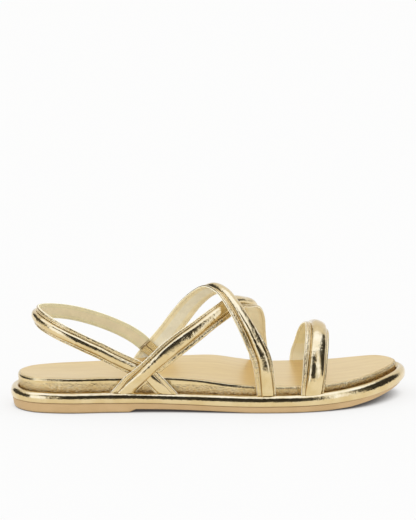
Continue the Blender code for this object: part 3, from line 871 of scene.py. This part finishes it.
# The foil on straps: smooth over the cord, finely crumpled on the flanges.
strap_foil, wire, shader = finish("strap_foil")
place = place_of(wire)
from_middle = wire.maths("ABSOLUTE", strip_share(wire, 0) - CORD_MIDDLE)
flange_mask = from_middle.spread(*FLANGE_START)
pebble = grain(wire, place, 1250.0, 2.0, 0.6)
crumple = grain(wire, place, 640.0, 2.0, 0.55)
cloud = grain(wire, place, 90.0, 2.0)
link(cloud.spread(0.35, 0.65).tint(DEEP_GOLD, GOLD), shader["Base Color"])
shader["Metallic"].default_value = 1.0
link(crumple.spread(0.3, 0.7, 0.13, 0.20) + flange_mask * 0.03, shader["Roughness"])
shader["Coat Weight"].default_value = 0.5
shader["Coat Roughness"].default_value = 0.12
# Wrinkles come in patches over the cord and everywhere on the flanges.
patches = grain(wire, place, 150.0, 1.0).spread(0.42, 0.66, 0.25, 1.0)
wrinkles = (crumple + pebble * 0.35) * (patches + flange_mask * 1.5)
link(bumped(wire, wrinkles, 0.00022), shader["Normal"])

# Round the lining's section: the underside's middle, where the border colour starts, and
# where the cut edge does.
UNDERSIDE_MIDDLE = 0.35
BORDER_START = (0.066, 0.084)
EDGE_START = (0.28, 0.33)
CUT_EDGE = (0.95, 0.90, 0.72, 1.0)
PALE_STRIP = (1.0, 0.92, 0.66, 1.0)
STRIP_FADE = 0.3
# The mottling goes between these shades of a colour.
MOTTLED = (0.92, 1.04)


def suede(name, border, middle, strip_top=None):
    """Matt suede with a pale cut edge, a band of border colour along each side and mottling.

    Below strip_top, a height over the floor, a paler strip is let in.
    """
    material, wire, shader = finish(name)
    place = place_of(wire)
    from_middle = wire.maths("ABSOLUTE", strip_share(wire, 0) - UNDERSIDE_MIDDLE)
    nap = grain(wire, place, 1500.0, 3.0, 0.7)
    cloud = grain(wire, place, 160.0, 3.0, 0.65)
    mottle = (nap * 0.4 + cloud * 0.6).spread(0.34, 0.66)
    dark, pale = [
        [tuple(channel * shade for channel in colour) + (1.0,) for colour in (middle, border)]
        for shade in MOTTLED
    ]
    banded = from_middle.spread(*BORDER_START)
    sand = mottle.tint(banded.tint(*dark), banded.tint(*pale))
    if strip_top:
        height = wire.node("ShaderNodeSeparateXYZ", {}, {"Vector": place}, out=2)
        low, high = (strip_top - STRIP_FADE) * MM, (strip_top + STRIP_FADE) * MM
        sand = height.spread(low, high).tint(PALE_STRIP, sand)
    link(from_middle.spread(*EDGE_START).tint(sand, CUT_EDGE), shader["Base Color"])
    shader["Roughness"].default_value = 0.9
    shader["Sheen Weight"].default_value = 0.15
    link(bumped(wire, nap, 0.00012), shader["Normal"])
    return material


strap_suede = suede("strap_suede", (0.92, 0.83, 0.57), (0.90, 0.86, 0.70))
sling_suede = suede("sling_suede", (0.67, 0.61, 0.39), (0.70, 0.605, 0.40))
toe_suede = suede("toe_suede", (1.0, 0.90, 0.56), (0.98, 0.88, 0.54), strip_top=28.8)
vamp_suede = suede("vamp_suede", (0.98, 0.86, 0.57), (0.98, 0.89, 0.64))

THREAD_GOLD = (0.88, 0.76, 0.50, 1.0)
THREAD_SHADE = (0.72, 0.58, 0.32, 1.0)
thread_finish, wire, shader = finish("gold_thread")
ply = grain(wire, place_of(wire), 2500.0, 1.0)
link(ply.spread(0.3, 0.7).tint(THREAD_SHADE, THREAD_GOLD), shader["Base Color"])
shader["Roughness"].default_value = 0.55
link(bumped(wire, ply, 0.00008), shader["Normal"])

INSTEP_ROLL = ((0, 0), (14, 0), (30, 11), (48, 16), (75, 17), (104, 0))
VAMP_ROLL = (
    (0, 0), (6, 10), (16, 19), (30, 14), (46, 8), (58, 14), (70, 22), (86, 22), (98, 4), (104, 0),
)
SLING_ROLL = ((0, -18), (16, -16), (32, 0))
TOE_ROLL = ((0, 4), (60, 4), (80, 0))
INSTEP_BOXY = ((0, 0.7), (60, 0.7), (80, 0.8))
VAMP_BOXY = ((0, 0.85), (32, 0.85), (42, 0.64), (60, 0.64), (74, 0.82))
EVEN_BOXY = ((0, 0.8),)
UPPER = "instep_and_sling_straps"

instep = Route(INSTEP_ROUTE, off_the_foot, roll=INSTEP_ROLL)
vamp = Route(VAMP_ROUTE, off_the_foot, roll=VAMP_ROLL)
sling = Route(SLING_ROUTE, off_the_heel, roll=SLING_ROLL)
toe = Route(TOE_ROUTE, off_the_foot, roll=TOE_ROLL)
# Each has its cord as core_edges takes it, its seed for the lumps and its solid's node.
for name, route, core, boxy, seed, lining_finish, node in (
    ("instep_strap", instep, (0.57, 0.68, -0.9, -0.8), INSTEP_BOXY, 11.0, strap_suede, UPPER),
    ("vamp_strap", vamp, (0.62, 0.70, 0.6, -1.4), VAMP_BOXY, 23.0, vamp_suede, UPPER),
    ("heel_sling", sling, (0.56, 0.62, 0.3, 0.3), EVEN_BOXY, 37.0, sling_suede, UPPER),
    ("toe_band", toe, (0.66, 0.76, -0.5, -0.5), EVEN_BOXY, 51.0, toe_suede, "toe_strap"),
):
    strap_cover = cover(name, route, core, boxy, seed)
    strap_cover.data.materials.append(strap_foil)
    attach(strap_cover, "root")
    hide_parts(node)
    strap_lining = lining(name + "_lining", route)
    strap_lining.data.materials.append(lining_finish)
    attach(strap_lining, "root")
    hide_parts(node)
    strap_stitches = stitches(name + "_stitches", *stitch_rows(route, core))
    strap_stitches.data.materials.append(thread_finish)
    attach(strap_stitches, "root")


# Elastic. A short ribbed tab of bronze and gold webbing, sewn between the sling's inner end
# and the lining of the instep strap.
ELASTIC_ROUTE = (
    (87.9, 25.9, 33.0, 8.6, 1.2), (89.3, 26.2, 31.6, 8.6, 1.2), (93.4, 26.7, 27.9, 8.6, 1.2),
    (97.0, 27.0, 24.7, 8.6, 1.2), (98.2, 27.2, 23.6, 8.6, 1.2),
)
ELASTIC_STEP = 0.1
ELASTIC_LANES = 41
ELASTIC_FACES = (-0.05, 1.15)
RIB_PITCH = 1.25
RIB_DEPTH = 0.22
# Troughs along the tab: their depth, and their middle and reach as shares of half its width.
MIDDLE_TROUGH = (0.35, 0.0, 0.09)
EDGE_TROUGH = (0.25, 0.97, 0.06)
# Round the tab's section its two faces meet here, and their middles lie this far off.
FACES_MEET = 0.494
FACE_MIDDLE = 0.25
WEBBING_GOLD = (0.90, 0.80, 0.50, 1.0)
WEBBING_BRONZE = (0.52, 0.36, 0.12, 1.0)
WEBBING_BROWN = (0.22, 0.13, 0.04, 1.0)


def trough(lanes, depth, middle, reach):
    """A round-bottomed trough on each side of the tab's middle line."""
    return depth * np.exp(-(((np.abs(lanes) - middle) / reach) ** 2))


tab = Route(ELASTIC_ROUTE, off_the_heel, step=ELASTIC_STEP)
ribs = RIB_DEPTH * np.cos(2.0 * math.pi * tab.at[:, None] / RIB_PITCH)
lanes = np.linspace(-1.0, 1.0, ELASTIC_LANES)[None, :]
troughs = trough(lanes, *MIDDLE_TROUGH) + trough(lanes, *EDGE_TROUGH)
across = tab.width[:, None] / 2.0 * lanes
lower = ELASTIC_FACES[0] - ribs + troughs
upper = ELASTIC_FACES[1] + ribs - troughs
points = tab.lay(np.hstack((across, across[:, ::-1])), np.hstack((lower, upper[:, ::-1])))
elastic_tab = laid("elastic_tab", np.concatenate((points, points[:, :1]), axis=1))

webbing, wire, shader = finish("ribbed_webbing")
yarn = grain(wire, place_of(wire), 1300.0, 2.0)
along = strip_share(wire, 1)
rib = wire.maths("SINE", along * (2.0 * math.pi * tab.length / RIB_PITCH)).spread(-0.6, 0.8)
# Brown along the middle of each face and where the tab leaves the sling.
from_meeting = wire.maths("ABSOLUTE", strip_share(wire, 0) - FACES_MEET)
middle_line = wire.maths("ABSOLUTE", from_meeting - FACE_MIDDLE).spread(0.010, 0.022, 1.0, 0.0)
brown = wire.maths("MAXIMUM", middle_line, along.spread(0.10, 0.14, 1.0, 0.0))
gold = (rib * 0.75 + yarn * 0.25).tint(WEBBING_BRONZE, WEBBING_GOLD)
link(brown.tint(gold, WEBBING_BROWN), shader["Base Color"])
shader["Roughness"].default_value = 0.45
link(bumped(wire, yarn, 0.0002), shader["Normal"])
elastic_tab.data.materials.append(webbing)
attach(elastic_tab, "root")
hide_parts("sling_elastic")


# Studio. A plain pale floor, and soft light from all round: a broad panel overhead and an
# upright one to either side in front. The foil mirrors them, the pale walls, and unlit
# stretches straight in front and at both ends.
FLOOR_SIZE = 24.0
FLOOR_PAPER = (0.175, 0.171, 0.166, 1.0)
OPEN_FLOOR = (0.72, 0.725, 0.73, 1.0)
# The colour of the painted contact shadow under the sole.
FLOOR_PAINTED_SHADOW = (0.02, 0.02, 0.025, 1.0)
DEGREES = 180.0 / math.pi
WALL_LIGHT = 0.86
PANEL_LIGHT = 0.5
# The light on matt surfaces from low down and from overhead, and the backdrop's.
SOFT_LIGHT = (1.22, 1.56)
BACKDROP = 0.97
WALL_TONE = (1.0, 1.0, 1.0, 1.0)
# The panels are daylight, cooler than the walls.
PANEL_TONE = (0.94, 1.08, 1.52, 1.0)
# The overhead panel: its reach to the toe side and to the front, for one metre of height.
OVERHEAD = ((-1.2, 0.95), (-0.45, 0.62), 0.14)
# Upright panels: degrees round from the front, + to the toe side, degrees up, and soft edge.
LIT_PANELS = (
    ((33.0, 47.0), (2.0, 46.0), 3.0),
    ((-74.0, -32.0), (-2.0, 34.0), 5.0),
)
# Unlit stretches in the same way, each after the share of the light that it takes away.
UNLIT = (
    (0.95, (-28.0, 29.0), (2.0, 46.0), 3.0),
    (0.95, (-54.0, 18.0), (40.0, 58.0), 4.0),
    (0.95, (64.0, 124.0), (-3.0, 47.0), 4.0),
    (0.93, (53.0, 66.0), (13.0, 47.0), 3.0),
    (0.93, (-155.0, -75.0), (0.0, 32.0), 3.0),
)
bpy.ops.object.select_all(action="DESELECT")
bpy.ops.mesh.primitive_plane_add(size=FLOOR_SIZE, location=(0.0, 0.0, 0.0))
floor = bpy.context.object
floor.name = "floor"
paper, wire, shader = finish("floor_paper")
# The paper glows pale where it is open to the room; close under the sole a contact shadow is
# painted dark, driven by an occlusion node.
openness = wire.node("ShaderNodeAmbientOcclusion", {"samples": 16}, {"Distance": 0.03}, out=1)
link(openness.spread(0.02, 0.55).tint(FLOOR_PAINTED_SHADOW, OPEN_FLOOR), shader["Emission Color"])
shader["Emission Strength"].default_value = 1.0
shader["Base Color"].default_value = FLOOR_PAPER
shader["Roughness"].default_value = 0.9
shader["Specular IOR Level"].default_value = 0.0
floor.data.materials.append(paper)
floor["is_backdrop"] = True

world = bpy.data.worlds.new("studio")
bpy.context.scene.world = world
world.use_nodes = True
wire = Wire(world.node_tree)
toward = wire.node("ShaderNodeTexCoord", {}, {}, out=0)
toward = wire.node("ShaderNodeVectorMath", {"operation": "NORMALIZE"}, {0: toward})
x, y, z = (wire.node("ShaderNodeSeparateXYZ", {}, {"Vector": toward}, out=k) for k in range(3))
height = wire.maths("ARCSINE", z) * DEGREES
turn = wire.maths("ARCTAN2", x, y * -1.0) * DEGREES


def window(value, low, high, soft):
    """1 between low and high, 0 outside, with soft edges."""
    return value.spread(low - soft, low + soft) * value.spread(high - soft, high + soft, 1.0, 0.0)


def panel(turns, heights, soft):
    """1 inside a span of turns and heights, with soft edges."""
    return window(turn, *turns, soft) * window(height, *heights, soft)


above = wire.maths("MAXIMUM", z, 0.05)
toe_reach, front_reach, soft = OVERHEAD
lit = window(x / above, *toe_reach, soft) * window(y * -1.0 / above, *front_reach, soft)
for turns, heights, soft in LIT_PANELS:
    lit = wire.maths("MAXIMUM", lit, panel(turns, heights, soft))
level = WALL_LIGHT + lit * PANEL_LIGHT
for share, turns, heights, soft in UNLIT:
    level = level * (1.0 - panel(turns, heights, soft) * share)
seen = wire.node("ShaderNodeLightPath", {}, {}, out=0)
mirrored = wire.node("ShaderNodeLightPath", {}, {}, out=3)
level = level * mirrored + z.spread(-0.2, 1.0, *SOFT_LIGHT) * (1.0 - mirrored)
level = level * (1.0 - seen) + seen * BACKDROP
background = world.node_tree.nodes["Background"].inputs
link((lit * mirrored).tint(WALL_TONE, PANEL_TONE), background["Color"])
link(level, background["Strength"])
world.cycles.sampling_method = "NONE"
bpy.context.scene.view_settings.view_transform = "Standard"

# The camera looks at the outer side, from a little above and a little behind.
lens = bpy.data.cameras.new("camera")
lens.lens = 180.07
lens.sensor_width = 36.0
lens.clip_end = 100.0
camera = bpy.data.objects.new("camera", lens)
camera.location = (-0.191412, -1.653564, 0.377503)
camera.rotation_euler = (math.radians(80.291), 0.0, math.radians(-6.537))
bpy.context.scene.collection.objects.link(camera)
bpy.context.scene.camera = camera

low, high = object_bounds()
